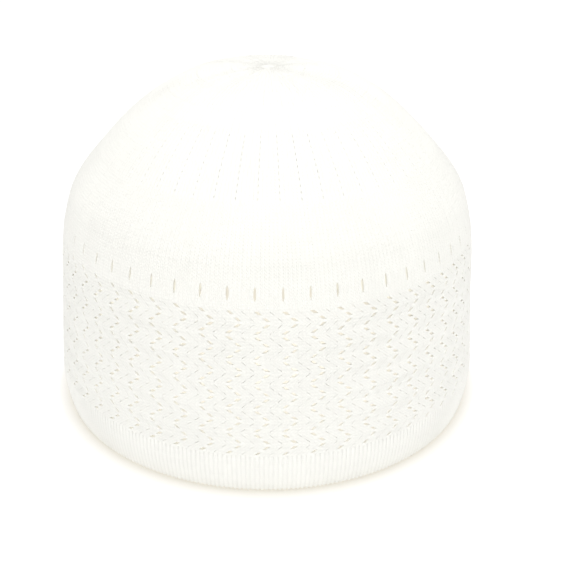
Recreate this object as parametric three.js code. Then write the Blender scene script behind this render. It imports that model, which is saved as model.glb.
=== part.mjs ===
// A white knitted kufi, a brimless skullcap, standing rim down. Millimetres, +Z up, the front towards -Y,
// and the origin at the middle of the rim on the surface that the cap rests on.
//
// The real cap is knitted in one go as a round tube, in three stretches that differ in stitch and thickness:
// a turned, doubled hem, a lace band with a zigzag of small holes and a row of eyelets, and a domed crown that
// narrows along columns of small holes and is gathered shut at its middle. Each stretch is a solid of its own.
import * as THREE from 'three';
import { mergeVertices } from 'three/addons/utils/BufferGeometryUtils.js';

// Overall size of the cap's outer face
const RIM_RADIUS = 86;
const HEIGHT = 137;

// Walls, from the outer face inwards
const HEM_WALL = 2.8;
const LACE_WALL = 1.8;
const CROWN_WALL = 1.5;
const SEAM_GAP = 0.3;

// Stretches of the wall, measured along it
const HEM_DEPTH = 17.2;
const HEM_FOLD = 1.2;
const ZIGZAG_PERIOD = 9.6;
const ZIGZAG_PERIODS = 6;
const EYELET_LENGTH = 5;
const EYELET_MARGIN = 3;

// The pattern round the cap: lengths across the wall are shares of one repeat
const REPEATS = 54;
const FIRST_EYELET = 0.545;
const ZIGZAG_SWING = 0.5;
const LACE_GROOVE_HALF = 0.18;

// Depths and widths of the knit's relief
const LACE_GROOVE = 0.8;
const EYELET_WIDTH = 1.1;
const LADDER_GROOVE = 0.6;
const PLEAT_DEPTH = 0.9;
const DIMPLE_DEPTH = 1.4;

// The round outline, as shares of the height and of the rim's radius
const PROFILE = [
  { up: 0, out: 1 },
  { up: 0.1, out: 1.024 },
  { up: 0.22, out: 1.012 },
  { up: 0.36, out: 0.992 },
  { up: 0.5, out: 0.976 },
  { up: 0.64, out: 0.927 },
  { up: 0.78, out: 0.768 },
  { up: 0.87, out: 0.628 },
  { up: 0.94, out: 0.477 },
  { up: 0.98, out: 0.337 },
  { up: 1, out: 0 },
];

// The hem's turned edge, as shares of the hem's wall (from the outer face) and of the fold's height
const FOLD = [
  { across: 1, up: 1 },
  { across: 0.72, up: 0 },
  { across: 0.28, up: 0 },
  { across: 0.1, up: 0.35 },
  { across: 0, up: 1 },
];

// The crown, from its seam (0) to the pole (1) along the wall: shares of the depths of the ladder grooves, of
// the pleats round the pole and of the dimple there
const CROWN = [
  { along: 0, ladder: 0, pleat: 0, dimple: 0 },
  { along: 0.12, ladder: 0, pleat: 0, dimple: 0 },
  { along: 0.235, ladder: 0, pleat: 0, dimple: 0 },
  { along: 0.27, ladder: 1, pleat: 0, dimple: 0 },
  { along: 0.34, ladder: 1, pleat: 0, dimple: 0 },
  { along: 0.41, ladder: 1, pleat: 0, dimple: 0 },
  { along: 0.48, ladder: 1, pleat: 0, dimple: 0 },
  { along: 0.52, ladder: 0, pleat: 0, dimple: 0 },
  { along: 0.6, ladder: 0, pleat: 0, dimple: 0 },
  { along: 0.69, ladder: 0, pleat: 0, dimple: 0 },
  { along: 0.78, ladder: 0, pleat: 0, dimple: 0 },
  { along: 0.86, ladder: 0, pleat: 0.2, dimple: 0 },
  { along: 0.92, ladder: 0, pleat: 0.8, dimple: 0.1 },
  { along: 0.965, ladder: 0, pleat: 1, dimple: 0.4 },
];

// Columns of vertices in one repeat: turn is a share of the repeat, mark is 1 on the repeat's line of holes
const PLAIN_COLUMNS = [{ turn: 0, mark: 0 }];
const PAIRED_COLUMNS = [{ turn: 0, mark: 0 }, { turn: 0.5, mark: 0 }];
const LADDER_COLUMNS = [{ turn: 0, mark: 1 }, { turn: 0.5, mark: 0 }];

const PROFILE_STEPS = 2000;
const LACE_INNER_ROWS = 4;

/** Slope at the end of a curve, from its last two steps and the chords' slopes over them. */
function endSlope(step, nextStep, chord, nextChord) {
  const slope = ((2 * step + nextStep) * chord - step * nextChord) / (step + nextStep);
  if (Math.sign(slope) !== Math.sign(chord)) return 0;
  const turns = Math.sign(chord) !== Math.sign(nextChord);
  return turns && Math.abs(slope) > 3 * Math.abs(chord) ? 3 * chord : slope;
}

/** A cubic curve through the given points that never overshoots them. */
function smoothCurve(xs, ys) {
  const steps = xs.slice(1).map((x, k) => x - xs[k]);
  const chords = steps.map((step, k) => (ys[k + 1] - ys[k]) / step);
  const last = steps.length - 1;
  const slopes = xs.map((_, k) => {
    if (k === 0) return endSlope(steps[0], steps[1], chords[0], chords[1]);
    if (k > last) return endSlope(steps[last], steps[last - 1], chords[last], chords[last - 1]);
    if (chords[k - 1] * chords[k] <= 0) return 0;
    const before = 2 * steps[k] + steps[k - 1];
    const after = steps[k] + 2 * steps[k - 1];
    return (before + after) / (before / chords[k - 1] + after / chords[k]);
  });
  return (x) => {
    const k = Math.max(0, xs.findLastIndex((start, index) => start <= x && index <= last));
    const t = (x - xs[k]) / steps[k];
    const rise = ys[k + 1] - ys[k];
    const bend = (1 - t) * (slopes[k] * steps[k] - rise) + t * (rise - slopes[k + 1] * steps[k]);
    return ys[k] + t * rise + t * (1 - t) * bend;
  };
}

/** The outline as closely spaced points, each with its distance along the wall from the rim. */
function traceProfile() {
  const outSquared = smoothCurve(PROFILE.map((row) => row.up), PROFILE.map((row) => row.out ** 2));
  const track = [];
  for (let k = 0; k <= PROFILE_STEPS; k += 1) {
    const up = 1 - (1 - k / PROFILE_STEPS) ** 2;
    const point = new THREE.Vector2(RIM_RADIUS * Math.sqrt(Math.max(0, outSquared(up))), HEIGHT * up);
    const before = track[k - 1];
    track.push({ point, along: before ? before.along + point.distanceTo(before.point) : 0 });
  }
  return track;
}

const track = traceProfile();
const WALL_LENGTH = track[PROFILE_STEPS].along;

/** Radius (x) and height (y) of a point that lies inset millimetres inside the outer face. */
function wallPoint(along, inset) {
  const next = Math.min(PROFILE_STEPS, Math.max(1, track.findIndex((step) => step.along >= along)));
  const [low, high] = [track[next - 1], track[next]];
  const share = (along - low.along) / (high.along - low.along);
  const run = high.point.clone().sub(low.point).normalize();
  const point = low.point.clone().lerp(high.point, share);
  return point.add(new THREE.Vector2(-run.y, run.x).multiplyScalar(inset));
}

/** Point of the cap at a place round it, counted in repeats from the first eyelet, at a radius and height. */
function place(repeats, radiusAndHeight) {
  const angle = ((repeats + FIRST_EYELET) * 2 * Math.PI) / REPEATS;
  const radius = radiusAndHeight.x;
  return new THREE.Vector3(radius * Math.sin(angle), -radius * Math.cos(angle), radiusAndHeight.y);
}

/** Ring of vertices round the cap, the same columns in every repeat. pointOf gives a column's section point. */
function ring(columns, shift, pointOf) {
  const points = [];
  for (let repeat = 0; repeat < REPEATS; repeat += 1) {
    for (const column of columns) points.push(place(repeat + column.turn + shift, pointOf(column)));
  }
  return points;
}

/** Columns on both sides of a line of holes, half a width from it. */
function edgedColumns(half) {
  return [{ turn: 0, mark: 1 }, { turn: half, mark: 0 }, { turn: 1 - half, mark: 0 }];
}

/** Ring at a distance along the wall, sunk by an inset, and by a groove's depth on its marked columns. */
function wallRing(columns, along, inset = 0, groove = 0, shift = 0) {
  return ring(columns, shift, (column) => wallPoint(along, inset + groove * column.mark));
}

/** Ring at one radius and height. */
function levelRing(radius, height) {
  return ring(PAIRED_COLUMNS, 0, () => new THREE.Vector2(radius, height));
}

/** Triangles of the strip between two rings, or between a ring and a pole, facing out when b is above a. */
function bridge(a, b) {
  const triangles = [];
  let [i, j] = [0, 0];
  while (i < a.length || j < b.length) {
    const stepOnA = j === b.length || (i < a.length && (i + 1) * b.length <= (j + 1) * a.length);
    const [fromA, fromB] = [a[i % a.length], b[j % b.length]];
    if (stepOnA) {
      i += 1;
      if (a.length > 1) triangles.push([fromA, a[i % a.length], fromB]);
    } else {
      j += 1;
      if (b.length > 1) triangles.push([fromA, b[j % b.length], fromB]);
    }
  }
  return triangles;
}

/** Triangles of the strips from each ring to the next. */
function strips(rings) {
  return rings.slice(1).flatMap((upper, k) => bridge(rings[k], upper));
}

/** Geometry of a closed surface given as triangles. */
function closedGeometry(triangles) {
  const corners = triangles.flat().flatMap((point) => point.toArray());
  const geometry = new THREE.BufferGeometry();
  geometry.setAttribute('position', new THREE.Float32BufferAttribute(corners, 3));
  return mergeVertices(geometry);
}

/** Closed shell over rings that run up the outer face and back down the inner one. */
function shell(rings) {
  return closedGeometry(strips([...rings, rings[0]]));
}

/** Evenly spaced values from first to last. */
function spread(first, last, count) {
  return Array.from({ length: count }, (_, k) => first + ((last - first) * k) / (count - 1));
}

// Where each stretch starts and ends along the wall
const LACE_BOTTOM = HEM_DEPTH + SEAM_GAP;
const ZIGZAG_TOP = HEM_DEPTH + ZIGZAG_PERIOD * ZIGZAG_PERIODS;
const EYELET_BOTTOM = ZIGZAG_TOP + EYELET_MARGIN;
const EYELET_TOP = EYELET_BOTTOM + EYELET_LENGTH;
const LACE_TOP = EYELET_TOP + EYELET_MARGIN;

/** The turned hem: two layers of knit with a rounded lower edge and a flat ring under it. */
function hemGeometry() {
  const fold = FOLD.map((row) => {
    const height = HEM_FOLD * row.up;
    return levelRing(wallPoint(height, 0).x - HEM_WALL * row.across, height);
  });
  const outer = [HEM_DEPTH / 2, HEM_DEPTH].map((along) => wallRing(PAIRED_COLUMNS, along));
  const innerTop = wallRing(PAIRED_COLUMNS, HEM_DEPTH, HEM_WALL);
  return shell([...fold, ...outer, innerTop]);
}

/** Ring through the corners of all eyelets at one of their ends, pointed by tip on each line of holes. */
function eyeletRing(along, tip, inset) {
  const repeatWidth = (2 * Math.PI * wallPoint(along, 0).x) / REPEATS;
  const columns = edgedColumns(EYELET_WIDTH / 2 / repeatWidth);
  return ring(columns, 0, (column) => wallPoint(along + tip * column.mark, inset));
}

/** Triangles of the wall that is left between the eyelets, from one ring through their corners to the other. */
function websBetweenEyelets(a, b) {
  const webs = [];
  for (let k = 1; k < a.length; k += 3) webs.push([a[k], a[k + 1], b[k]], [a[k + 1], b[k + 1], b[k]]);
  return webs;
}

/** Corners of one eyelet, anticlockwise as seen from outside the cap. */
function eyeletOutline(bottom, top, repeat) {
  const middle = 3 * repeat;
  const [left, right] = [(middle + bottom.length - 1) % bottom.length, middle + 1];
  return [bottom[middle], bottom[right], top[right], top[middle], top[left], bottom[left]];
}

/** The lace band: grooves along the lines of holes swing right and back in each period, under open eyelets. */
function laceGeometry() {
  const grooved = edgedColumns(LACE_GROOVE_HALF);
  const zigzag = Array.from({ length: 2 * ZIGZAG_PERIODS + 1 }, (_, half) => {
    const along = half === 0 ? LACE_BOTTOM : HEM_DEPTH + (half * ZIGZAG_PERIOD) / 2;
    return wallRing(grooved, along, 0, LACE_GROOVE, (half % 2) * ZIGZAG_SWING);
  });
  const [top, innerTop] = [0, LACE_WALL].map((inset) => wallRing(PLAIN_COLUMNS, LACE_TOP, inset));
  const inner = spread(ZIGZAG_TOP, LACE_BOTTOM, LACE_INNER_ROWS)
    .map((along) => wallRing(PLAIN_COLUMNS, along, LACE_WALL));
  const tip = EYELET_WIDTH / 2;
  const [sill, innerSill] = [0, LACE_WALL].map((inset) => eyeletRing(EYELET_BOTTOM + tip, -tip, inset));
  const [head, innerHead] = [0, LACE_WALL].map((inset) => eyeletRing(EYELET_TOP - tip, tip, inset));
  const reveals = Array.from({ length: REPEATS }, (_, repeat) => bridge(
    eyeletOutline(sill, head, repeat),
    eyeletOutline(innerSill, innerHead, repeat),
  ));
  return closedGeometry([
    ...strips([...zigzag, sill]),
    ...websBetweenEyelets(sill, head),
    ...strips([head, top, innerTop, innerHead]),
    ...websBetweenEyelets(innerHead, innerSill),
    ...strips([innerSill, ...inner, zigzag[0]]),
    ...reveals.flat(),
  ]);
}

/** One outer ring of the crown, with its ladder grooves or its pleats, which rise and fall by column. */
function crownRing(row, along) {
  const inset = DIMPLE_DEPTH * row.dimple;
  if (row.ladder > 0) return wallRing(LADDER_COLUMNS, along, inset, LADDER_GROOVE * row.ladder);
  const rise = (PLEAT_DEPTH * row.pleat) / 2;
  const points = wallRing(PLAIN_COLUMNS, along, inset);
  return points.map((point, column) => point.setZ(point.z + (column % 2 === 0 ? rise : -rise)));
}

/** The crown: a dome with shallow ladder grooves over the eyelets and pleats drawn together at its middle. */
function crownGeometry() {
  const seam = LACE_TOP + SEAM_GAP;
  const alongOf = (row) => seam + (WALL_LENGTH - seam) * row.along;
  const outer = CROWN.map((row) => crownRing(row, alongOf(row)));
  const inner = CROWN.filter((_, k) => k % 2 === 0).reverse()
    .map((row) => wallRing(PLAIN_COLUMNS, alongOf(row), CROWN_WALL + DIMPLE_DEPTH * row.dimple));
  const pole = new THREE.Vector3(0, 0, HEIGHT - DIMPLE_DEPTH);
  const innerPole = new THREE.Vector3(0, 0, pole.z - CROWN_WALL);
  return shell([...outer, [pole], [innerPole], ...inner]);
}

/** Matte cotton yarn in one of the cap's slightly different whites. */
function cottonKnit(color) {
  return new THREE.MeshStandardMaterial({ color, roughness: 0.92, metalness: 0 });
}

/** Named piece of the cap. */
function piece(name, geometry, material) {
  const mesh = new THREE.Mesh(geometry, material);
  mesh.name = name;
  return mesh;
}

const kufi = new THREE.Group();
kufi.add(
  piece('hem', hemGeometry(), cottonKnit(0xfbfaf2)),
  piece('lace_band', laceGeometry(), cottonKnit(0xfaf8f0)),
  piece('crown', crownGeometry(), cottonKnit(0xfdfdf8)),
);

export default kufi;
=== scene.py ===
"""A white knitted kufi, a brimless skullcap, standing rim down on a pale floor.

The cap is knitted as one round tube. Its wall is built over a grid that follows the pattern of the knit,
with the lace's slits, the eyelets and the ladder holes left open, and its yarn is laid over it stitch by
stitch. Places on the wall are given by two numbers: the distance along the wall from the rim, and the place
round the cap counted in pattern repeats. All lengths are in metres.
"""

from __future__ import annotations

import logging
import math
from dataclasses import dataclass, field
from enum import Enum

import bpy
import numpy as np
from mathutils import Euler, Matrix, Vector

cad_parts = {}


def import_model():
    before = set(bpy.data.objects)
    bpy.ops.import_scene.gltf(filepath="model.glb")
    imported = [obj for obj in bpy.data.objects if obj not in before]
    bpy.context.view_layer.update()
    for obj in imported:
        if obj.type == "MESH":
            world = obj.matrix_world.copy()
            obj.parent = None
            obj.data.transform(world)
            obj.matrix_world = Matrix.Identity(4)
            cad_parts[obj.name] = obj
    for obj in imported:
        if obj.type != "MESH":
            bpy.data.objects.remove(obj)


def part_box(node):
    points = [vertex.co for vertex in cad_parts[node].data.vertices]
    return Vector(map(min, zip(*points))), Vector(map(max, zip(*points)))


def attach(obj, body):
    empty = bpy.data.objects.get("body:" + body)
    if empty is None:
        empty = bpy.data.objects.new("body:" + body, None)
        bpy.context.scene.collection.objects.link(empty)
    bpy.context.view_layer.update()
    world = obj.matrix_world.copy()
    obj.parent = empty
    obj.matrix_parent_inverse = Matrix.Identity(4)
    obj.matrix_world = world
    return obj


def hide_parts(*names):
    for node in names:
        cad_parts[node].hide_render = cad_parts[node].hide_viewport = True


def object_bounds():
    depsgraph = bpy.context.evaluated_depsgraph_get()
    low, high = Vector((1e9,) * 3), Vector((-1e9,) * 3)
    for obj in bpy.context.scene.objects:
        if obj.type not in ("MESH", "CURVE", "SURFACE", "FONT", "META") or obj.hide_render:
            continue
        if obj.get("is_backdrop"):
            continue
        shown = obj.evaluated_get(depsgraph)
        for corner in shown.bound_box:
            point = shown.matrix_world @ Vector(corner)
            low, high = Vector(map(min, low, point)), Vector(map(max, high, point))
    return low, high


LOG = logging.getLogger("kufi")
MM = 0.001
Array = np.ndarray
Colour = tuple[float, float, float]
YARN_TINT: Colour = (0.948, 0.942, 0.898)
# Columns of stitches in one repeat, from the hem up to the ladders
WALES = 6
# Columns of the hem's wall in one repeat
HEM_COLUMNS = 4
# Places of the lace wall's columns in a repeat. The second line of slits lies just past one half.
LACE_SHARES = np.array([0, 1 / 6, 1 / 3, 0.5, 0.5 + 1e-9, 2 / 3, 5 / 6, 1])
# The lace wall's columns that a line of holes and the second line of slits start from
LINE_OF_HOLES, SECOND_LINE = 7, 3


def add_object(name: str, data: bpy.types.ID) -> bpy.types.Object:
    """Add an object to the scene that holds the data, and return it."""
    made = bpy.data.objects.new(name, data)
    bpy.context.scene.collection.objects.link(made)
    return made


class Graph:
    """A node tree under construction."""

    def __init__(self, tree: bpy.types.NodeTree) -> None:
        """Start an empty tree.

        Args:
            tree: The tree to fill. Its own nodes are deleted.
        """
        self.tree = tree
        tree.nodes.clear()

    @classmethod
    def of(cls, owner: bpy.types.Material | bpy.types.World) -> Graph:
        """Start the tree of a material or a world."""
        owner.use_nodes = True
        return cls(owner.node_tree)

    def add(self, kind: str, settings: dict | None = None, **inputs: object) -> bpy.types.Node:
        """Add a node, apply its settings and then feed its sockets.

        Args:
            kind: The node's type.
            settings: The node's own properties, such as a Math node's operation.
            **inputs: Values or Signals by socket name with underscores for spaces, or by number as s0, s1.

        Returns:
            The new node.
        """
        node = self.tree.nodes.new(kind)
        for name, value in (settings or {}).items():
            setattr(node, name, value)
        for name, value in inputs.items():
            self.feed(self.socket_of(node, name), value)
        return node

    @staticmethod
    def socket_of(node: bpy.types.Node, name: str) -> bpy.types.NodeSocket:
        """Return a node's input by a name such as Base_Color, or by a number such as s0."""
        if name[0] == "s" and name[1:].isdigit():
            return node.inputs[int(name[1:])]
        return node.inputs[name.replace("_", " ")]

    def feed(self, socket: bpy.types.NodeSocket, value: object) -> None:
        """Link a Signal to a socket, or set the socket's own value."""
        if isinstance(value, Signal):
            self.tree.links.new(value.socket, socket)
        elif value is not None:
            socket.default_value = value

    def signal(
        self, kind: str, output: str | int = 0, settings: dict | None = None, **inputs: object
    ) -> Signal:
        """Add a node and return one of its outputs as a Signal."""
        return Signal(self, self.add(kind, settings, **inputs).outputs[output])

    def blend(self, share: Signal, first: object, second: object) -> Signal:
        """Add a colour Mix node: the first colour where the share is 0, the second where it is 1."""
        return self.signal("ShaderNodeMix", 2, {"data_type": "RGBA"}, s0=share, s6=first, s7=second)

    def math(self, operation: str, *values: object) -> Signal:
        """Add a Math node over numbers or Signals."""
        inputs = {f"s{k}": value for k, value in enumerate(values)}
        return self.signal("ShaderNodeMath", settings={"operation": operation}, **inputs)

    def vector(self, operation: str, **inputs: object) -> Signal:
        """Add a Vector Math node."""
        return self.signal("ShaderNodeVectorMath", settings={"operation": operation}, **inputs)

    def finish(self, **inputs: object) -> None:
        """End a material's tree with a Principled shader."""
        shader = self.signal("ShaderNodeBsdfPrincipled", **inputs)
        self.add("ShaderNodeOutputMaterial", Surface=shader)

    def coordinates(self, kind: str) -> tuple[Signal, Signal]:
        """Return the first two parts of a kind of texture coordinates, such as UV or Object."""
        parts = self.add("ShaderNodeSeparateXYZ", Vector=self.signal("ShaderNodeTexCoord", kind)).outputs
        return Signal(self, parts[0]), Signal(self, parts[1])

    def radius(self) -> Signal:
        """Return the distance from the cap's upright axis."""
        x, y = self.coordinates("Object")
        return self.math("SQRT", x * x + y * y)


class Signal:
    """An output socket that takes part in Python arithmetic."""

    def __init__(self, graph: Graph, socket: bpy.types.NodeSocket) -> None:
        """Wrap an output socket of a graph."""
        self.graph = graph
        self.socket = socket

    def __add__(self, other: object) -> Signal:
        """Return self + other."""
        return self.graph.math("ADD", self, other)

    def __sub__(self, other: object) -> Signal:
        """Return self - other."""
        return self.graph.math("SUBTRACT", self, other)

    def __rsub__(self, other: object) -> Signal:
        """Return other - self."""
        return self.graph.math("SUBTRACT", other, self)

    def __mul__(self, other: object) -> Signal:
        """Return self * other."""
        return self.graph.math("MULTIPLY", self, other)

    def __rmul__(self, other: object) -> Signal:
        """Return other * self."""
        return self.graph.math("MULTIPLY", other, self)

    def clamped(self, low: float, high: float, to_low: float, to_high: float) -> Signal:
        """Return self mapped from low..high to to_low..to_high and held within them."""
        return self.graph.signal("ShaderNodeMapRange", s0=self, s1=low, s2=high, s3=to_low, s4=to_high)


class Outline:
    """The round outline of the cap's outer face, by distance along the wall from the rim."""

    # Shares of the height, and of the rim's radius there
    UP = (0.0, 0.10, 0.22, 0.36, 0.50, 0.64, 0.78, 0.87, 0.94, 0.98, 1.0)
    OUT = (1.0, 1.024, 1.012, 0.992, 0.976, 0.927, 0.768, 0.628, 0.477, 0.337, 0.0)
    STEPS = 2000

    def __init__(self, widest: float, height: float) -> None:
        """Trace the outline.

        Args:
            widest: The cap's largest radius.
            height: The cap's height.
        """
        up, out = np.array(self.UP), np.array(self.OUT)
        self.rim_radius = widest / out.max()
        share = 1 - (1 - np.linspace(0, 1, self.STEPS + 1)) ** 2
        squared = np.clip(self.smooth_curve(up, out**2, share), 0, None)
        self.radius = self.rim_radius * np.sqrt(squared)
        self.height = height * share
        steps = np.hypot(np.diff(self.radius), np.diff(self.height))
        self.along = np.concatenate([[0], np.cumsum(steps)])
        self.length = float(self.along[-1])
        self.run_out = np.gradient(self.radius, self.along)
        self.run_up = np.gradient(self.height, self.along)

    @staticmethod
    def smooth_curve(xs: Array, ys: Array, at: Array) -> Array:
        """Return a cubic curve through points, which never overshoots them, at given places."""
        steps, rises = np.diff(xs), np.diff(ys)
        chords = rises / steps
        slopes = np.zeros_like(xs)
        before, after = 2 * steps[1:] + steps[:-1], steps[1:] + 2 * steps[:-1]
        same = chords[:-1] * chords[1:] > 0
        low, high = np.where(same, chords[:-1], 1), np.where(same, chords[1:], 1)
        slopes[1:-1] = np.where(same, (before + after) / (before / low + after / high), 0)
        for end, next_in in ((0, 1), (-1, -2)):
            weighed = (2 * steps[end] + steps[next_in]) * chords[end] - steps[end] * chords[next_in]
            slopes[end] = weighed / (steps[end] + steps[next_in])
        k = np.clip(np.searchsorted(xs, at, side="right") - 1, 0, len(steps) - 1)
        t = (at - xs[k]) / steps[k]
        bend = (1 - t) * (slopes[k] * steps[k] - rises[k]) + t * (rises[k] - slopes[k + 1] * steps[k])
        return ys[k] + t * rises[k] + t * (1 - t) * bend

    def along_at_height(self, height: float) -> float:
        """Return the distance along the wall at which a height is reached."""
        return float(np.interp(height, self.height, self.along))

    def at(self, along: Array) -> tuple[Array, Array, Array, Array]:
        """Return radius, height and the run's outward and upward shares at distances along the wall."""
        columns = (self.radius, self.height, self.run_out, self.run_up)
        radius, height, run_out, run_up = (np.interp(along, self.along, column) for column in columns)
        size = np.hypot(run_out, run_up)
        return radius, height, run_out / size, run_up / size


@dataclass
class Knit:
    """The knitted pattern laid over the outline: where its stretches start, and how its columns run."""

    outline: Outline
    hem_top: float
    lace_top: float
    repeats: int = 54
    first_eyelet: float = 0.545
    course: float = 1.17 * MM
    zigzag_periods: int = 6
    zigzag_period: float = 9.6 * MM
    zigzag_swing: float = 0.5
    corner: float = 0.94
    courses_in_arm: int = 4
    eyelet_length: float = 5.0 * MM
    eyelet_margin: float = 3.0 * MM
    slit_gap: float = 1.5 * MM
    eyelet_gap: float = 0.9 * MM
    ladder_gap: float = 0.13 * MM
    plain_gap: float = 0.03 * MM
    middle_gap: float = 0.22 * MM
    eyelet_taper: float = 1.3 * MM
    gap_vary: float = 0.3
    # For each wave in the holes' width: its turn from one repeat to the next, its length and its share
    gap_waves: tuple = ((2.4, 3.7 * MM, 0.6), (5.1, -2.1 * MM, 0.4))
    uneven: float = 0.1
    # Shares of a column's straying that keep to one side and that swing, and the length of the swing
    stray_steady: float = 0.7
    stray_swing: float = 0.5
    stray_length: float = 9 * MM
    seed: int = 11
    # Shares of the crown's length from its seam to the pole
    ladder_from: float = 0.25
    ladder_to: float = 0.51
    gather_from: float = 0.86
    pleat_depth: float = 0.12 * MM
    dimple_depth: float = 0.2 * MM
    sway: float = 0.35 * MM
    # For each wave in the soft wall: how often it goes round, its climb, its start and its share
    sway_waves: tuple = ((3, 5, 0.0, 1.0), (7, -9, 1.3, 0.6), (11, 17, 0.4, 0.5))

    def __post_init__(self) -> None:
        """Work out where each stretch starts and ends along the wall."""
        crown = self.outline.length - self.lace_top
        self.zigzag_top = self.hem_top + self.zigzag_period * self.zigzag_periods
        self.eyelet_bottom = self.zigzag_top + self.eyelet_margin
        self.eyelet_top = self.eyelet_bottom + self.eyelet_length
        self.ladder_bottom = self.lace_top + self.ladder_from * crown
        self.ladder_top = self.lace_top + self.ladder_to * crown
        self.gather_bottom = self.lace_top + self.gather_from * crown
        self.crown_top_bottom = self.ladder_top + 2 * self.course
        blend = 2 * self.course
        # Distances along the wall, with the width of the line of holes and of the second line of slits
        gaps = (
            (0.0, self.plain_gap, 0.0),
            (self.hem_top - blend / 4, self.plain_gap, 0.0),
            (self.hem_top, self.slit_gap, self.middle_gap),
            (self.zigzag_top - blend / 4, self.slit_gap, self.middle_gap),
            (self.zigzag_top + blend / 2, self.plain_gap * 5, self.middle_gap / 2),
            (self.eyelet_bottom - self.eyelet_taper / 4, self.plain_gap * 5, self.middle_gap / 2),
            (self.eyelet_bottom + self.eyelet_taper, self.eyelet_gap, self.middle_gap / 2),
            (self.eyelet_top - self.eyelet_taper, self.eyelet_gap, self.middle_gap / 2),
            (self.eyelet_top + self.eyelet_taper / 4, self.plain_gap * 3, self.middle_gap / 3),
            (self.eyelet_top + blend, self.plain_gap, 0.0),
            (self.ladder_bottom - blend, self.plain_gap, 0.0),
            (self.ladder_bottom, self.ladder_gap, 0.0),
            (self.ladder_top, self.ladder_gap * 0.8, 0.0),
            (self.ladder_top + blend, self.plain_gap, 0.0),
            (self.gather_bottom, self.plain_gap / 2, 0.0),
            (self.outline.length, 0.0, 0.0),
        )
        self.gap_rows = np.array(gaps).T

    def repeat_width(self, along: Array) -> Array:
        """Return the width of one repeat."""
        return self.outline.at(along)[0] * 2 * math.pi / self.repeats

    def gaps(self, along: Array) -> tuple[Array, Array]:
        """Return the widths of the line of holes and of the second line of slits, as shares of a repeat."""
        places, *widths = self.gap_rows
        repeat = np.maximum(self.repeat_width(along), self.plain_gap)
        first, second = (np.interp(along, places, width) / repeat for width in widths)
        return first, second

    def shift(self, along: Array) -> Array:
        """Return how far the zigzag has moved the columns to the right, in repeats."""
        half = np.clip(along - self.hem_top, 0, self.zigzag_top - self.hem_top) / (self.zigzag_period / 2)
        wave = np.arcsin(self.corner * np.cos(math.pi * half)) / math.asin(self.corner)
        return self.zigzag_swing / 2 * (1 - wave)

    def slope(self, along: Array) -> Array:
        """Return the columns' sideways run for each length that they climb."""
        step = self.zigzag_period / 1000
        return (self.shift(along + step) - self.shift(along - step)) / (2 * step) * self.repeat_width(along)

    def column(self, repeat: Array, share: Array, along: Array) -> Array:
        """Return the place of a share of the stretch between two lines of holes of uneven width.

        Args:
            repeat: Numbers of the repeats.
            share: From 0 to 1. Past one half, the place lies past the second line of slits.
            along: Distances along the wall.

        Returns:
            The places, in repeats.
        """
        waves = (share * np.sin(turn * repeat + along / length) for turn, length, share in self.gap_waves)
        varied = 1 + self.gap_vary * sum(waves)
        gap, between = (width * varied for width in self.gaps(along))
        return repeat + self.shift(along) + gap / 2 + (1 - gap - between) * share + between * (share > 0.5)

    def wander(self, wale: Array, along: Array) -> Array:
        """Return how far columns of stitches stray sideways, as a share of their width."""
        drawn = np.random.default_rng(self.seed).uniform(-1, 1, (3, self.repeats * WALES))
        steady, swing, phase = (row[wale] for row in drawn)
        swung = self.stray_swing * np.sin(along / self.stray_length + math.pi * phase) * swing
        return self.uneven * (self.stray_steady * steady + swung)

    def lift(self, place: Array, along: Array) -> Array:
        """Return how far the real, soft wall stands off its even outline, pleats and dimple included."""
        turn = place * 2 * math.pi / self.repeats
        climb = along / self.outline.length
        sway = sum(
            share * np.sin(rounds * turn + rise * climb + start)
            for rounds, rise, start, share in self.sway_waves
        )
        # The wall is even at the rim and at the pole
        swayed = self.sway / 2 * sway * np.clip(4 * climb, 0, 1) * np.clip(6 * (1 - climb), 0, 1)
        drawn = np.clip((along - self.gather_bottom) / (self.outline.length - self.gather_bottom), 0, 1)
        pleat = self.pleat_depth / 2 * np.cos(math.pi * place) * np.sin(math.pi * drawn**0.8)
        return swayed + pleat - self.dimple_depth * drawn**3

    def point(self, place: Array, along: Array, above: Array | float) -> Array:
        """Return points of the cap.

        Args:
            place: Places round the cap, in repeats from the first eyelet.
            along: Distances along the wall.
            above: Distances off the outer face, outwards.

        Returns:
            The points, one in each row.
        """
        radius, height, run_out, run_up = self.outline.at(along)
        off = above + self.lift(place, along)
        turn = (place + self.first_eyelet) * 2 * math.pi / self.repeats
        out = np.maximum(radius + off * run_up, 0)
        return np.stack([out * np.sin(turn), -out * np.cos(turn), height - off * run_out], -1)

    def directions(self, place: Array, along: Array) -> tuple[Array, Array, Array]:
        """Return the unit vectors to the right, up along the wall and off it."""
        _, _, run_out, run_up = self.outline.at(along)
        turn = (place + self.first_eyelet) * 2 * math.pi / self.repeats
        sine, cosine = np.sin(turn), np.cos(turn)
        right = np.stack([cosine, sine, np.zeros_like(sine)], -1)
        up = np.stack([run_out * sine, -run_out * cosine, run_up], -1)
        off = np.stack([run_up * sine, -run_up * cosine, -run_out], -1)
        return right, up, off


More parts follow.
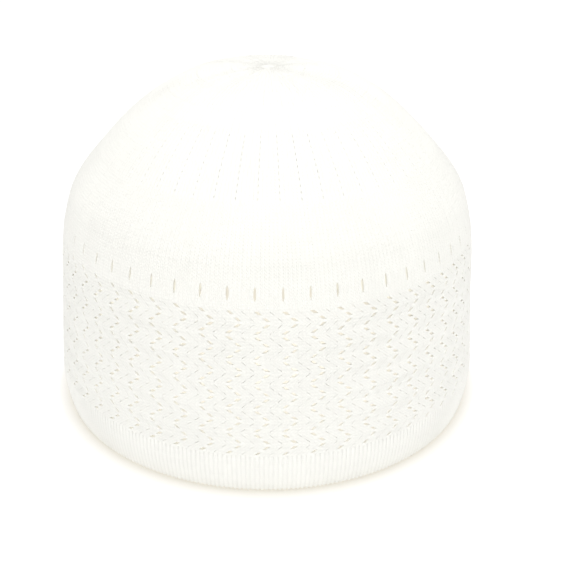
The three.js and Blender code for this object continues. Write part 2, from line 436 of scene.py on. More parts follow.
@dataclass
class Strands:
    """Short lengths of yarn to be laid on a wall: place, facing, run and size of each."""

    knit: Knit
    points: list[Array] = field(default_factory=list)
    facing: list[Array] = field(default_factory=list)
    running: list[Array] = field(default_factory=list)
    sizes: list[Array] = field(default_factory=list)

    def lay(self, place: Array, along: Array, depth: float, lean: Array, size: tuple) -> None:
        """Add strands on the outer face.

        Args:
            place: Places round the cap, in repeats.
            along: Distances along the wall.
            depth: Depth of the strands' base under the outer face.
            lean: Angles from straight up towards the right.
            size: Width, length and height of the strands, each a number or an array.
        """
        right, up, off = self.knit.directions(place, along)
        self.points.append(self.knit.point(place, along, -depth))
        self.facing.append(off)
        self.running.append(right * np.sin(lean)[:, None] + up * np.cos(lean)[:, None])
        self.sizes.append(np.stack([np.broadcast_to(part, place.shape) for part in size], -1))

    def object(self, name: str) -> bpy.types.Object:
        """Return a mesh object with one vertex for each strand, which carries its facing, run and size."""
        mesh = bpy.data.meshes.new(name)
        points = np.concatenate(self.points)
        mesh.vertices.add(len(points))
        mesh.vertices.foreach_set("co", points.astype(np.float32).ravel())
        for label, rows in (("facing", self.facing), ("running", self.running), ("size", self.sizes)):
            attribute = mesh.attributes.new(label, "FLOAT_VECTOR", "POINT")
            attribute.data.foreach_set("vector", np.concatenate(rows).astype(np.float32).ravel())
        mesh.update()
        return add_object(name, mesh)


@dataclass(frozen=True)
class StitchSize:
    """The two legs of one knit stitch, as shares of the stitch's width and height or of the leg's width."""

    leg_width: float = 0.46
    leg_length: float = 1.95
    leg_height: float = 0.8
    spread: float = 0.18
    lean: float = 0.26
    depth: float = 0.27 * MM
    uneven: float = 1.0


def shade(mesh: bpy.types.Mesh, smooth: list[bool]) -> None:
    """Shade a mesh's faces smooth or flat, with sharp edges round the flat ones.

    Args:
        mesh: The mesh.
        smooth: For each face, whether it is smooth.
    """
    mesh.polygons.foreach_set("use_smooth", smooth)
    corners = np.empty(len(mesh.polygons), np.int32)
    mesh.polygons.foreach_get("loop_total", corners)
    edges = np.empty(len(mesh.loops), np.int32)
    mesh.loops.foreach_get("edge_index", edges)
    sharp = np.zeros(len(mesh.edges), bool)
    sharp[edges[~np.repeat(smooth, corners)]] = True
    mesh.edges.foreach_set("use_edge_sharp", sharp)


def wall_mesh(
    name: str, points: Array, faces: list, smooth: list[bool], uv: Array, repeats: int
) -> bpy.types.Mesh:
    """Return a wall's mesh, with its place in the pattern as its UV map, without a jump where it closes.

    Args:
        name: The mesh's name.
        points: Its vertices.
        faces: Its quads, and its triangles, whose last corner is the pole.
        smooth: For each face, whether it is smooth.
        uv: Place round the cap, in repeats, and along the wall, in courses, of each vertex.
        repeats: Repeats in one round.

    Returns:
        The mesh.
    """
    mesh = bpy.data.meshes.new(name)
    mesh.from_pydata(points.tolist(), [], faces)
    shade(mesh, smooth)
    corners = np.empty(len(mesh.loops), np.int32)
    mesh.loops.foreach_get("vertex_index", corners)
    starts, sizes = np.empty((2, len(mesh.polygons)), np.int32)
    mesh.polygons.foreach_get("loop_start", starts)
    mesh.polygons.foreach_get("loop_total", sizes)
    place = uv[corners].astype(np.float32)
    furthest = np.repeat(np.maximum.reduceat(place[:, 0], starts), sizes)
    place[:, 0] += repeats * (furthest - place[:, 0] > repeats / 2)
    fans = starts[sizes == 3]
    place[fans + 2, 0] = (place[fans, 0] + place[fans + 1, 0]) / 2
    mesh.uv_layers.new(name="UVMap").data.foreach_set("uv", place.ravel())
    mesh.update()
    return mesh


@dataclass
class Wall:
    """A closed wall over a grid of rows up the cap and columns round it, with some cells left open."""

    outer: Array
    inner: Array
    open_cells: Array
    uv: Array
    repeats: int
    closed_top: bool = False

    def faces(self) -> tuple[list[tuple], list[bool]]:
        """Return the faces, as vertex numbers facing out, and which of them are smooth."""
        rows, columns = self.outer.shape[:2]
        inner_start = rows * columns
        following = (np.arange(columns) + 1) % columns
        faces: list[tuple] = []
        smooth: list[bool] = []
        solid = np.zeros((rows + 1, columns), bool)
        solid[1:-1] = ~self.open_cells
        for i in range(rows - 1):
            low, high = i * columns, (i + 1) * columns
            inner_low, inner_high = inner_start + low, inner_start + high
            for j in np.flatnonzero(solid[i + 1]):
                k = following[j]
                faces.append((low + j, low + k, high + k, high + j))
                faces.append((inner_low + k, inner_low + j, inner_high + j, inner_high + k))
                smooth += [True, True]
            for j in np.flatnonzero(solid[i + 1] != np.roll(solid[i + 1], 1)):
                edge = (low + j, high + j, inner_high + j, inner_low + j)
                faces.append(edge if not solid[i + 1, j] else edge[::-1])
                smooth.append(False)
        last = rows - 1 if self.closed_top else rows
        for i in range(last):
            for j in np.flatnonzero(solid[i] != solid[i + 1]):
                a, b = i * columns + j, i * columns + following[j]
                edge = (a, inner_start + a, inner_start + b, b)
                faces.append(edge if solid[i + 1, j] else edge[::-1])
                smooth.append(False)
        if self.closed_top:
            pole = 2 * inner_start
            top = (rows - 1) * columns
            for j in range(columns):
                k = following[j]
                faces.append((top + j, top + k, pole))
                faces.append((inner_start + top + k, inner_start + top + j, pole + 1))
                smooth += [True, True]
        return faces, smooth

    def mesh(self, name: str) -> bpy.types.Mesh:
        """Return the wall as a mesh with its pattern's coordinates as its UV map."""
        points = np.concatenate([self.outer.reshape(-1, 3), self.inner.reshape(-1, 3)])
        uv = np.concatenate([self.uv.reshape(-1, 2)] * 2)
        if self.closed_top:
            poles = np.stack([self.outer[-1].mean(0), self.inner[-1].mean(0)])
            points = np.concatenate([points, poles])
            uv = np.concatenate([uv, uv[-2:]])
        return wall_mesh(name, points, *self.faces(), uv, self.repeats)


@dataclass
class RingWall:
    """A closed ring given by loops round its section."""

    loops: Array

    def mesh(self, name: str) -> bpy.types.Mesh:
        """Return the ring as a mesh."""
        rows, columns = self.loops.shape[:2]
        i, j = np.meshgrid(np.arange(rows), np.arange(columns), indexing="ij")
        low, high = (i + 1) % rows * columns, i * columns
        k = (j + 1) % columns
        faces = np.stack([low + j, low + k, high + k, high + j], -1).reshape(-1, 4).tolist()
        uv = np.stack([j / HEM_COLUMNS, i], -1).reshape(-1, 2)
        points = self.loops.reshape(-1, 3)
        return wall_mesh(name, points, faces, [True] * len(faces), uv, columns // HEM_COLUMNS)


def lay_stitches(
    strands: Strands, bottom: float, top: float, wales: int, size: StitchSize, courses: int | None = None
) -> None:
    """Lay whole courses of stitches, each of two legs that lean apart towards the top.

    Args:
        strands: Where the legs are added.
        bottom: Distance along the wall of the lowest course's lower edge.
        top: Distance of the highest course's upper edge.
        wales: Columns of stitches in one repeat.
        size: Sizes of the stitches' legs.
        courses: Number of courses, or None for the knit's own course height.
    """
    knit = strands.knit
    count = courses or max(1, round((top - bottom) / knit.course))
    height = (top - bottom) / count
    alongs = bottom + (np.arange(count) + 0.5) * height
    grids = np.meshgrid(alongs, np.arange(knit.repeats), np.arange(wales), indexing="ij")
    along, repeat, wale = (grid.ravel() for grid in grids)
    wander = size.uneven * knit.wander(repeat * WALES + wale, along)
    place = knit.column(repeat, (wale + 0.5 + wander) / wales, along)
    repeat_width = knit.repeat_width(along)
    width = repeat_width * (1 - knit.gaps(along)[0]) / wales
    column_lean = np.arctan(knit.slope(along))
    stretch = 1 / np.cos(column_lean)
    leg_lean = np.arctan(size.lean * (width / stretch) / (height * stretch))
    leg_width = size.leg_width * width / stretch
    leg_size = (leg_width, size.leg_length * height * stretch, size.leg_height * leg_width)
    for side in (-1, 1):
        beside = place + side * size.spread * width / repeat_width
        strands.lay(beside, along, size.depth, column_lean + side * leg_lean, leg_size)


class Role(Enum):
    """What a length of yarn does in the knit."""

    GROUND = "ground"
    STRAND = "strand"


@dataclass(frozen=True)
class CottonYarn:
    """Matte white cotton yarn, twisted of two plies."""

    name: str
    role: Role
    tint: Colour
    shade: Colour
    roughness: float = 0.9
    patch_scale: float = 45.0
    fuzz_scale: float = 1400.0
    mottle_from: float = 0.38
    mottle_to: float = 0.62
    # Turns of the plies along a strand and across it
    twist_along: float = 3.0
    twist_across: float = 1.2
    # How far a loop's sides run ahead of its middle, in courses
    loop_bend: float = 0.22
    strand_relief: float = 0.025 * MM
    ground_relief: float = 0.09 * MM
    # The columns crowd together at the pole, and the ground's relief fades towards it
    fade_radii: tuple[float, float] = (8 * MM, 50 * MM)

    def relief_height(self, graph: Graph) -> Signal:
        """Return the yarn's fine relief: its twist on a strand, rows of loops on the ground."""
        across, along = graph.coordinates("UV")
        if self.role is Role.STRAND:
            turns = self.twist_along * along + self.twist_across * across
            return graph.math("SINE", 2 * math.pi * turns) * 0.5
        column = graph.math("COSINE", 2 * math.pi * WALES * across)
        loops = graph.math("SINE", 2 * math.pi * (along + self.loop_bend * column)) + column * 0.5
        return loops * graph.radius().clamped(*self.fade_radii, 0.0, 1.0)

    def material(self) -> bpy.types.Material:
        """Return the yarn's material."""
        made = bpy.data.materials.new(self.name)
        graph = Graph.of(made)
        place = graph.signal("ShaderNodeTexCoord", "Object")
        fuzz = graph.signal("ShaderNodeTexNoise", "Fac", Vector=place, Scale=self.fuzz_scale, Detail=2.0)
        patch = graph.signal("ShaderNodeTexNoise", "Fac", Vector=place, Scale=self.patch_scale, Detail=3.0)
        mottle = (fuzz * 0.4 + patch * 0.6).clamped(self.mottle_from, self.mottle_to, 0.0, 1.0)
        colour = graph.blend(mottle, (*self.shade, 1.0), (*self.tint, 1.0))
        height = self.relief_height(graph) + fuzz * 0.6
        relief = self.strand_relief if self.role is Role.STRAND else self.ground_relief
        bump = graph.signal("ShaderNodeBump", "Normal", Height=height, Strength=0.5, Distance=relief)
        graph.finish(Base_Color=colour, Roughness=self.roughness, Specular_IOR_Level=0.2, Normal=bump)
        return made


def strand_shape(yarn: bpy.types.Material) -> bpy.types.Object:
    """Return a unit length of yarn: pointed at both ends, highest in the middle and flat below.

    Args:
        yarn: Its finish.

    Returns:
        The strand's object.
    """
    mesh = bpy.data.meshes.new("strand")
    points = [(0, -0.5, -0.1), (-0.5, 0, 0), (0, 0, 0.6), (0.5, 0, 0), (0, 0.5, -0.1)]
    faces = [(0, 3, 2), (0, 2, 1), (4, 2, 3), (4, 1, 2), (0, 1, 3), (4, 3, 1)]
    mesh.from_pydata(points, [], faces)
    shade(mesh, [True] * 4 + [False] * 2)
    mesh.materials.append(yarn)
    layer = mesh.uv_layers.new(name="UVMap")
    for loop, entry in zip(mesh.loops, layer.data):
        entry.uv = Vector(points[loop.vertex_index][:2]) + Vector((0.5, 0.5))
    mark = mesh.attributes.new("is_strand", "BOOLEAN", "FACE")
    mark.data.foreach_set("value", [True] * len(faces))
    return add_object("strand", mesh)


@dataclass(frozen=True)
class Finish:
    """What one of the cap's finishes is made of: its wall's finish, its yarn's finish and one strand of that
    yarn, named after a CAD slot.
    """

    slot: str
    ground: bpy.types.Material
    yarn: bpy.types.Material
    strand: bpy.types.Object
    # Shares of the tint: the yarn where it is darker, then the wall under it where it is lighter and darker.
    # The wall's lower shares are painted shade between the columns of stitches.
    SHADES = (0.978, 0.957, 0.937)

    @classmethod
    def of(cls, slot: str, tint: Colour) -> Finish:
        """Return the finish named after a slot, with its wall painted a little darker than its yarn as shade
        between the columns of stitches.
        """
        # The wall seen between the columns is painted darker than the yarn, as shade
        yarn_dark, shaded_ground_lighter, shaded_ground_darker = (tuple(part * share for part in tint) for share in cls.SHADES)
        yarn = CottonYarn(slot + "_strands", Role.STRAND, tint, yarn_dark).material()
        ground = CottonYarn(slot + "_ground", Role.GROUND, shaded_ground_lighter, shaded_ground_darker).material()
        return cls(slot, ground, yarn, strand_shape(yarn))


class StitchTree:
    """The Geometry Nodes tree that lays a strand of yarn on each point of a plan, over the wall."""

    SOCKETS = (
        ("Plan", "NodeSocketObject"),
        ("Strand", "NodeSocketObject"),
        ("Size variation", "NodeSocketFloat"),
        ("Run variation", "NodeSocketFloat"),
        ("Seed", "NodeSocketInt"),
        ("Yarn", "NodeSocketMaterial"),
    )

    def __init__(self) -> None:
        """Build the tree."""
        self.tree = bpy.data.node_groups.new("knit_stitches", "GeometryNodeTree")
        interface = self.tree.interface
        interface.new_socket("Geometry", in_out="INPUT", socket_type="NodeSocketGeometry")
        for name, kind in self.SOCKETS:
            interface.new_socket(name, in_out="INPUT", socket_type=kind)
        interface.new_socket("Geometry", in_out="OUTPUT", socket_type="NodeSocketGeometry")
        graph = Graph(self.tree)
        sockets = graph.add("NodeGroupInput").outputs
        given = {socket.name: Signal(graph, socket) for socket in sockets if socket.name}
        plan = graph.signal("GeometryNodeObjectInfo", "Geometry", Object=given["Plan"])
        strand = graph.signal("GeometryNodeObjectInfo", "Geometry", Object=given["Strand"])
        facing, running, size = (self.attribute(graph, name) for name in ("facing", "running", "size"))
        uneven = self.random_vector(graph, given["Run variation"], given["Seed"])
        run = graph.vector("ADD", s0=running, s1=uneven)
        growth = self.random_vector(graph, given["Size variation"], given["Seed"] + 1)
        grown = graph.vector("MULTIPLY_ADD", s0=size, s1=growth, s2=size)
        align = "FunctionNodeAlignRotationToVector"
        upright = graph.signal(align, "Rotation", {"axis": "Z"}, Vector=facing)
        along_run = {"axis": "Y", "pivot_axis": "Z"}
        turned = graph.signal(align, "Rotation", along_run, Rotation=upright, Vector=run)
        laid = graph.signal(
            "GeometryNodeInstanceOnPoints", Points=plan, Instance=strand, Rotation=turned, Scale=grown
        )
        join = graph.add("GeometryNodeJoinGeometry")
        graph.feed(join.inputs[0], laid)
        graph.feed(join.inputs[0], given["Geometry"])
        joined = Signal(graph, join.outputs[0])
        whole = graph.signal("GeometryNodeRealizeInstances", "Geometry", Geometry=joined)
        is_strand = self.attribute(graph, "is_strand", "BOOLEAN")
        dressed = graph.signal(
            "GeometryNodeSetMaterial", Geometry=whole, Selection=is_strand, Material=given["Yarn"]
        )
        output = graph.add("NodeGroupOutput")
        graph.feed(output.inputs[0], dressed)

    @staticmethod
    def attribute(graph: Graph, name: str, kind: str = "FLOAT_VECTOR") -> Signal:
        """Return a named attribute."""
        return graph.signal("GeometryNodeInputNamedAttribute", "Attribute", {"data_type": kind}, Name=name)

    @staticmethod
    def random_vector(graph: Graph, reach: Signal, seed: Signal) -> Signal:
        """Return a random vector within reach on each axis, either way."""
        kind = {"data_type": "FLOAT_VECTOR"}
        low, high = (-1.0,) * 3, (1.0,) * 3
        drawn = graph.signal("FunctionNodeRandomValue", "Value", kind, s0=low, s1=high, Seed=seed)
        return graph.vector("SCALE", s0=drawn, Scale=reach)

    def apply(self, wall: bpy.types.Object, values: dict[str, object]) -> bpy.types.Object:
        """Run the tree on a wall and return the result as a plain mesh object of the same name.

        Args:
            wall: The wall's object, which is deleted.
            values: The tree's inputs by name.

        Returns:
            The finished object.
        """
        modifier = wall.modifiers.new("Stitches", "NODES")
        modifier.node_group = self.tree
        for item in self.tree.interface.items_tree:
            if item.in_out == "INPUT" and item.name in values:
                modifier[item.identifier] = values[item.name]
        depsgraph = bpy.context.evaluated_depsgraph_get()
        mesh = bpy.data.meshes.new_from_object(wall.evaluated_get(depsgraph), depsgraph=depsgraph)
        name = wall.name
        bpy.data.objects.remove(wall)
        mesh.name = name
        return add_object(name, mesh)


@dataclass
class Section:
    """One stretch of the cap: a wall with its stitches, which stands for one CAD node."""

    name: str
    node: str
    knit: Knit
    finish: Finish
    # Depth of the wall's outer face under the cap's, and the wall's thickness
    ground_depth: float = 0.3 * MM
    thickness: float = 0.9 * MM
    # Sizes of the strands that lie level across a line of holes
    bar_width: float = 0.9 * MM
    bar_height: float = 0.5 * MM
    # How far strands differ in size, as a share, and in run
    size_variation: float = 0.08
    run_variation: float = 0.07
    seed: int = 7

    def wall(self) -> Wall | RingWall:
        """Return the wall."""
        raise NotImplementedError

    def stitches(self, strands: Strands) -> None:
        """Lay the stitches."""
        raise NotImplementedError

    def grid_wall(
        self, alongs: Array, shares: Array, open_strips: dict[int, Array], closed_top: bool = False
    ) -> Wall:
        """Return a wall whose columns follow the pattern.

        Args:
            alongs: Distances of the rows along the wall.
            shares: Places of the columns between two lines of holes, from 0 to 1.
            open_strips: For a column's number, which strips between rows are open from it to the next.
            closed_top: Whether the wall ends at the pole.

        Returns:
            The wall.
        """
        knit = self.knit
        columns = len(shares)
        repeat = np.repeat(np.arange(knit.repeats), columns)
        share = np.tile(shares, knit.repeats)
        along = np.repeat(alongs[:, None], repeat.size, 1)
        place = knit.column(repeat[None, :], share[None, :], along)
        outer = knit.point(place, along, -self.ground_depth)
        inner = knit.point(place, along, -self.ground_depth - self.thickness)
        open_cells = np.zeros((len(alongs) - 1, repeat.size), bool)
        for column, strips in open_strips.items():
            open_cells[np.ix_(strips, np.arange(column, repeat.size, columns))] = True
        uv = np.stack([place, along / knit.course], -1)
        return Wall(outer, inner, open_cells, uv, knit.repeats, closed_top)

    def lay_bars(self, strands: Strands, alongs: Array, length: float) -> None:
        """Lay level strands across the line of holes in each repeat.

        Args:
            strands: Where the bars are added.
            alongs: Distances of the bars along the wall.
            length: Length of a bar.
        """
        repeats = np.arange(self.knit.repeats)
        along, repeat = (grid.ravel() for grid in np.meshgrid(alongs, repeats, indexing="ij"))
        level = np.full_like(along, math.pi / 2)
        size = (self.bar_width, length, self.bar_height)
        strands.lay(self.knit.shift(along) + repeat, along, self.ground_depth, level, size)

    def build(self, tree: StitchTree) -> None:
        """Build the section and tie it to the frame.

        Args:
            tree: The tree that lays the stitches.
        """
        mesh = self.wall().mesh(self.name)
        mesh.materials.append(self.finish.ground)
        wall = add_object(self.name, mesh)
        strands = Strands(self.knit)
        self.stitches(strands)
        plan = strands.object(self.name + "_plan")
        values = {
            "Plan": plan,
            "Strand": self.finish.strand,
            "Size variation": self.size_variation,
            "Run variation": self.run_variation,
            "Seed": self.seed,
            "Yarn": self.finish.yarn,
        }
        made = tree.apply(wall, values)
        bpy.data.objects.remove(plan)
        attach(made, "root")
        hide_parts(self.node)
        made.data.calc_loop_triangles()
        LOG.info("%s: %d triangles", self.name, len(made.data.loop_triangles))


@dataclass
class Hem(Section):
    """The turned hem: ribs run up its outer face, round its lower edge and up inside."""

    thickness: float = 2.8 * MM
    rib: StitchSize = StitchSize(
        leg_width=0.5, leg_length=2.2, leg_height=0.7, spread=0.14, lean=0.06, uneven=0.4
    )
    rib_bottom: float = 0.9 * MM
    face_rows: int = 4
    fold_rows: int = 6
    fold_margin: float = 0.4 * MM

    def wall(self) -> RingWall:
        """Return the hem's wall, a ring whose section is a long loop with a round lower edge."""
        half = (self.thickness - 2 * self.ground_depth) / 2
        columns = np.arange(self.knit.repeats * HEM_COLUMNS) / HEM_COLUMNS

        def loop(along: float, depth: float) -> Array:
            """Return one round of points."""
            return self.knit.point(columns, np.full_like(columns, along), -depth)

        alongs = np.linspace(self.knit.hem_top, half + self.fold_margin, self.face_rows)
        front = [loop(along, self.ground_depth) for along in alongs]
        back = [loop(along, self.ground_depth + 2 * half) for along in alongs]
        centre = loop(half + self.ground_depth, self.ground_depth + half)
        out = self.knit.directions(columns, np.zeros_like(columns))[2] * np.array([1, 1, 0])
        for turn in np.linspace(0, math.pi, self.fold_rows)[1:-1]:
            below = np.array([0, 0, -half * math.sin(turn)])
            front.append(centre + out * half * math.cos(turn) + below)
        return RingWall(np.stack(front + back[::-1]))

    def stitches(self, strands: Strands) -> None:
        """Lay the ribs."""
        lay_stitches(strands, self.rib_bottom, self.knit.hem_top, WALES, self.rib)


@dataclass
class LaceBand(Section):
    """A part of the zigzag lace, from one vertex of the zigzag up to another."""

    first_arm: int = 0
    last_arm: int = 6
    thickness: float = 0.8 * MM
    bar: float = 1.15 * MM
    stitch: StitchSize = StitchSize()
    # Share of a slit's width that a bar reaches over
    bar_reach: float = 1.3

    def arm_alongs(self) -> Array:
        """Return the zigzag's vertices that bound this part's arms."""
        arms = np.arange(self.first_arm, self.last_arm + 1)
        return self.knit.hem_top + arms * self.knit.zigzag_period / 2

    def wall(self) -> Wall:
        """Return the wall with its slits, two in each arm."""
        arms = self.last_arm - self.first_arm
        slit = (self.knit.zigzag_period / 2 - 2 * self.bar) / 2
        steps = np.tile([self.bar / 2, slit, self.bar, slit, self.bar / 2], arms)
        alongs = self.arm_alongs()[0] + np.concatenate([[0], np.cumsum(steps)])
        openings = np.tile([False, True, False, True, False], arms)
        return self.grid_wall(alongs, LACE_SHARES, {LINE_OF_HOLES: openings, SECOND_LINE: openings})

    def stitches(self, strands: Strands) -> None:
        """Lay the stitches that swing with the zigzag, and the bars between the slits."""
        vertices = self.arm_alongs()
        for low, high in zip(vertices[:-1], vertices[1:]):
            lay_stitches(strands, low, high, WALES, self.stitch, self.knit.courses_in_arm)
        middles = np.concatenate([vertices[:-1], (vertices[:-1] + vertices[1:]) / 2])
        self.lay_bars(strands, middles, self.bar_reach * self.knit.slit_gap)


@dataclass
class EyeletRow(Section):
    """The plain stretch over the zigzag, with the row of eyelets."""

    thickness: float = 0.8 * MM
    stitch: StitchSize = StitchSize(leg_height=0.9)

    def wall(self) -> Wall:
        """Return the wall with its eyelets."""
        knit = self.knit
        low, high, taper = knit.eyelet_bottom, knit.eyelet_top, knit.eyelet_taper
        alongs = [knit.zigzag_top, knit.zigzag_top + knit.course, low - taper / 4]
        alongs += [low, low + taper, high - taper, high]
        alongs += [high + taper / 4, (high + taper / 4 + knit.lace_top) / 2, knit.lace_top]
        openings = np.array([False] * 3 + [True] * 3 + [False] * 3)
        return self.grid_wall(np.array(alongs), LACE_SHARES, {LINE_OF_HOLES: openings})

    def stitches(self, strands: Strands) -> None:
        """Lay the plain stitches."""
        lay_stitches(strands, self.knit.zigzag_top, self.knit.lace_top, WALES, self.stitch)


@dataclass
class CrownSide(Section):
    """The crown's lower part: plain knit, and the ladder columns over it."""

    stitch: StitchSize = StitchSize(leg_height=0.9)
    ladder_stitch: StitchSize = StitchSize(leg_height=0.65)
    plain_strips: int = 10
    ladder_holes: int = 11
    bar: float = 1.3 * MM
    # Share of a ladder hole's width that a bar reaches over
    bar_reach: float = 6.0

    def period(self) -> float:
        """Return the distance from one ladder hole to the next."""
        return (self.knit.ladder_top - self.knit.ladder_bottom) / self.ladder_holes

    def wall(self) -> Wall:
        """Return the wall with its ladder holes."""
        knit = self.knit
        plain = np.linspace(knit.lace_top, knit.ladder_bottom, self.plain_strips + 1)[:-1]
        steps = np.tile([self.bar, self.period() - self.bar], self.ladder_holes)
        ladder = knit.ladder_bottom + np.concatenate([[0], np.cumsum(steps)])
        alongs = np.concatenate([plain, ladder, [knit.crown_top_bottom]])
        holes = np.tile([False, True], self.ladder_holes)
        openings = np.concatenate([[False] * self.plain_strips, holes, [False]])
        shares = np.linspace(0, 1, 4)
        return self.grid_wall(alongs, shares, {len(shares) - 1: openings})

    def stitches(self, strands: Strands) -> None:
        """Lay plain knit, then knit that loses columns beside the ladders, and the ladders' bars."""
        knit = self.knit
        halfway = knit.ladder_bottom + (knit.ladder_top - knit.ladder_bottom) / 2
        lay_stitches(strands, knit.lace_top, knit.ladder_bottom, WALES, self.stitch)
        lay_stitches(strands, knit.ladder_bottom, halfway, WALES - 1, self.ladder_stitch)
        lay_stitches(strands, halfway, knit.crown_top_bottom, WALES - 2, self.ladder_stitch)
        middles = knit.ladder_bottom + self.bar / 2 + np.arange(self.ladder_holes + 1) * self.period()
        self.lay_bars(strands, middles, self.bar_reach * knit.ladder_gap)


@dataclass
class CrownTop(Section):
    """The crown's plain top, whose columns run together into the gathered middle."""

    stitch: StitchSize = StitchSize(leg_width=0.5, leg_height=0.35, spread=0.21)
    wall_rows: int = 22
    pole_margin: float = 0.8 * MM
    # Shares of the stretch up to the pole at which the number of columns in a repeat drops
    wale_rows: tuple = ((0.0, 4), (0.16, 3), (0.42, 2), (0.70, 1), (0.955, 0))
    gathers: int = 14
    gather_size: tuple = (1.1 * MM, 3.6 * MM, 0.45 * MM)

    def wall(self) -> Wall:
        """Return the wall up to the pole."""
        bottom = self.knit.crown_top_bottom
        climb = self.knit.outline.length - self.pole_margin - bottom
        alongs = bottom + climb * np.linspace(0, 1, self.wall_rows)
        return self.grid_wall(alongs, np.array([0.25, 0.75]), {}, closed_top=True)

    def stitches(self, strands: Strands) -> None:
        """Lay the stitches, fewer in a repeat as the crown narrows."""
        bottom = self.knit.crown_top_bottom
        length = self.knit.outline.length - bottom
        for (low, wales), (high, _) in zip(self.wale_rows[:-1], self.wale_rows[1:]):
            lay_stitches(strands, bottom + low * length, bottom + high * length, wales, self.stitch)
        place = np.arange(self.gathers) * self.knit.repeats / self.gathers
        along = np.full_like(place, self.knit.outline.length - self.gather_size[1] / 2)
        strands.lay(place, along, self.ground_depth, np.zeros_like(place), self.gather_size)


@dataclass(frozen=True)
class Viewpoint:
    """The photograph's point of view."""

    distance: float = 0.37528
    height: float = 0.2310
    down: float = math.radians(26.776)
    right: float = math.radians(1.226)
    roll: float = math.radians(0.615)
    focal_length: float = 61.52
    sensor: float = 36.0

    def add_camera(self) -> None:
        """Add the camera and make it the scene's."""
        data = bpy.data.cameras.new("camera")
        data.lens = self.focal_length
        data.sensor_width = self.sensor
        camera = add_object("camera", data)
        place = Matrix.Translation((0, -self.distance, self.height))
        turn = Euler((math.pi / 2 - self.down, 0, -self.right)).to_matrix().to_4x4()
        camera.matrix_world = place @ turn @ Matrix.Rotation(self.roll, 4, "Z")
        bpy.context.scene.camera = camera


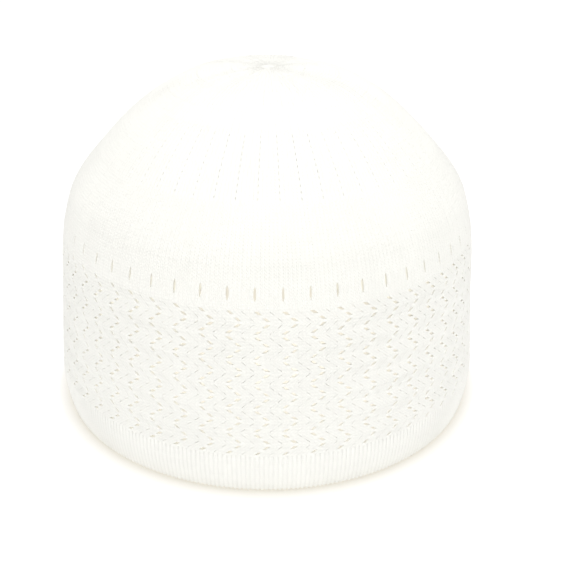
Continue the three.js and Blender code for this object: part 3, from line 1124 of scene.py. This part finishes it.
@dataclass(frozen=True)
class Studio:
    """A pale floor under very soft, bright light from all round and a stronger lamp above."""

    rim_radius: float
    floor_size: float = 60.0
    floor_tint: Colour = (0.42, 0.42, 0.42)
    # Tint of the floor beside the rim and under the cap, painted darker as a contact shadow
    shadow_tint: Colour = (0.5, 0.487, 0.455)
    floor_glow: Colour = (0.68, 0.68, 0.68)
    # Weaker glow beside the rim, which with the tint above paints the contact shadow
    contact_shadow_glow: Colour = (0.4, 0.385, 0.345)
    # Painted light: the floor's glow under the cap, in place of light let through the cloth
    hollow_painted_glow: Colour = (0.34, 0.325, 0.29)
    shadow_width: float = 8 * MM
    # Distances in from the rim over which the floor's glow turns to that of the hollow
    hem_from: float = 3 * MM
    hem_to: float = 6 * MM
    hollow_power: float = 0.08
    hollow_colour: Colour = (1.0, 0.97, 0.92)
    hollow_size: float = 15 * MM
    hollow_height: float = 55 * MM
    surround: float = 0.945
    front_share: float = 0.3
    right_share: float = 0.02
    side_share: float = 0.2
    key_power: float = 5.8
    key_size: float = 1.1
    key_place: tuple[float, float, float] = (0.08, -0.14, 1.55)
    key_aim: tuple[float, float, float] = (0, 0, 0.07)

    def build(self) -> None:
        """Add the floor and the lights."""
        self.add_floor()
        self.add_surround()
        self.add_key()
        self.add_hollow_light()
        view = bpy.context.scene.view_settings
        view.view_transform = "Standard"
        view.look = "None"

    def floor_material(self) -> bpy.types.Material:
        """Return the floor's finish: an evenly glowing floor, with a painted contact shadow beside the rim
        and a weaker painted glow under the cap in place of light let through the cloth.
        """
        made = bpy.data.materials.new("pale_floor")
        graph = Graph.of(made)
        radius, rim = graph.radius(), self.rim_radius
        # Share of the floor past the painted contact shadow beside the rim
        clear = radius.clamped(rim, rim + self.shadow_width, 0.0, 1.0)
        inside = radius.clamped(rim - self.hem_to, rim - self.hem_from, 1.0, 0.0)
        outside_glow = graph.blend(clear, (*self.contact_shadow_glow, 1.0), (*self.floor_glow, 1.0))
        # Under the cap the floor glows with painted light in place of light let through the cloth
        glow = graph.blend(inside, outside_glow, (*self.hollow_painted_glow, 1.0))
        tint = graph.blend(clear, (*self.shadow_tint, 1.0), (*self.floor_tint, 1.0))
        light = {"Emission_Color": glow, "Emission_Strength": 1.0}
        graph.finish(Base_Color=tint, Roughness=0.9, Specular_IOR_Level=0.0, **light)
        return made

    def add_floor(self) -> None:
        """Add the floor."""
        half = self.floor_size / 2
        corners = [(-half, -half, 0), (half, -half, 0), (half, half, 0), (-half, half, 0)]
        mesh = bpy.data.meshes.new("floor")
        mesh.from_pydata(corners, [], [(0, 1, 2, 3)])
        mesh.materials.append(self.floor_material())
        add_object("floor", mesh)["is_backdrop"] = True

    def add_surround(self) -> None:
        """Light the scene from all sides, a little more from the front and a little less from the sides."""
        world = bpy.data.worlds.new("surround")
        graph = Graph.of(world)
        x, y = graph.coordinates("Generated")
        sideways = x * self.right_share - x * x * self.side_share
        strength = self.surround * (1.0 - y * self.front_share + sideways)
        light = graph.add("ShaderNodeBackground", Color=(1.0, 1.0, 1.0, 1.0), Strength=strength)
        graph.add("ShaderNodeOutputWorld", Surface=Signal(graph, light.outputs[0]))
        bpy.context.scene.world = world

    @staticmethod
    def add_lamp(name: str, kind: str, power: float, place: Matrix) -> bpy.types.Light:
        """Add a lamp that the camera doesn't see, and return its data."""
        data = bpy.data.lights.new(name, kind)
        data.energy = power
        lamp = add_object(name, data)
        lamp.matrix_world = place
        lamp.visible_camera = False
        return data

    def add_hollow_light(self) -> None:
        """Add a weak warm light inside the cap, in place of what the thin cloth lets through."""
        place = Matrix.Translation((0, 0, self.hollow_height))
        data = self.add_lamp("hollow", "POINT", self.hollow_power, place)
        data.color = self.hollow_colour
        data.shadow_soft_size = self.hollow_size

    def add_key(self) -> None:
        """Add a large soft lamp over the cap, to its right and in front."""
        aim = Vector(self.key_place) - Vector(self.key_aim)
        turn = aim.to_track_quat("Z", "Y").to_matrix().to_4x4()
        data = self.add_lamp("key", "AREA", self.key_power, Matrix.Translation(self.key_place) @ turn)
        data.shape = "DISK"
        data.size = self.key_size


def main() -> None:
    """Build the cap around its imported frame, light it and set the camera."""
    logging.basicConfig(level=logging.INFO, format="%(message)s")
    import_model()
    cad_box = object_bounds()
    low, high = (Vector(corner) for corner in cad_box)
    outline = Outline((high.x - low.x) / 2, high.z - low.z)
    knit = Knit(
        outline,
        hem_top=outline.along_at_height(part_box("hem")[1].z),
        lace_top=outline.along_at_height(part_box("lace_band")[1].z),
    )
    Viewpoint().add_camera()
    Studio(outline.rim_radius).build()
    hem, lace, crown = (Finish.of(slot, YARN_TINT) for slot in ("hem_knit", "lace_knit", "crown_knit"))
    tree = StitchTree()
    half = knit.zigzag_periods
    sections = [
        Hem("hem_knit", "hem", knit, hem),
        LaceBand("lace_lower", "lace_band", knit, lace, first_arm=0, last_arm=half),
        LaceBand("lace_upper", "lace_band", knit, lace, first_arm=half, last_arm=2 * half),
        EyeletRow("eyelet_row", "lace_band", knit, lace),
        CrownSide("crown_side", "crown", knit, crown),
        CrownTop("crown_top", "crown", knit, crown),
    ]
    for section in sections:
        section.build(tree)
    for finish in (hem, lace, crown):
        bpy.data.objects.remove(finish.strand)


if __name__ == "__main__":
    main()
